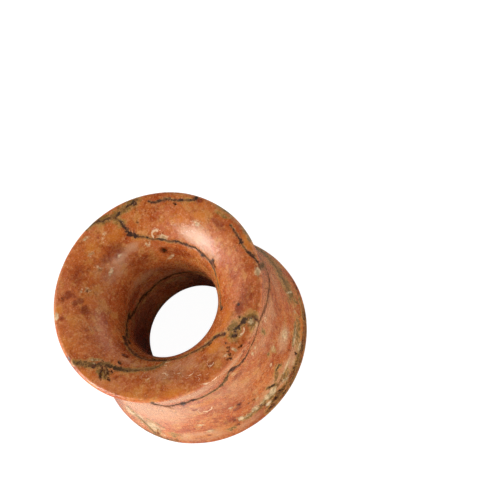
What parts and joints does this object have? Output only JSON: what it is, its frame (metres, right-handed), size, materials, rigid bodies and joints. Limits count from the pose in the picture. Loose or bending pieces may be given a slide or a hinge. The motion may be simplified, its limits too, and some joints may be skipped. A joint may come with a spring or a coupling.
{
  "type": "flesh tunnel",
  "caption": "Hollow double-flared ear tunnel turned from mottled orange stone, with a round bore that opens into a rounded bell at each end.",
  "frame": {"origin": "centre of the back face, on the bore's axis, where the tunnel stands", "axes": "+Z along the bore, from the back face to the front face"},
  "size_m": [0.0174, 0.0174, 0.0119],
  "materials": {
    "stone": "polished"
  },
  "bodies": {
    "root": {"tunnel": "stone"}
  },
  "joints": []
}
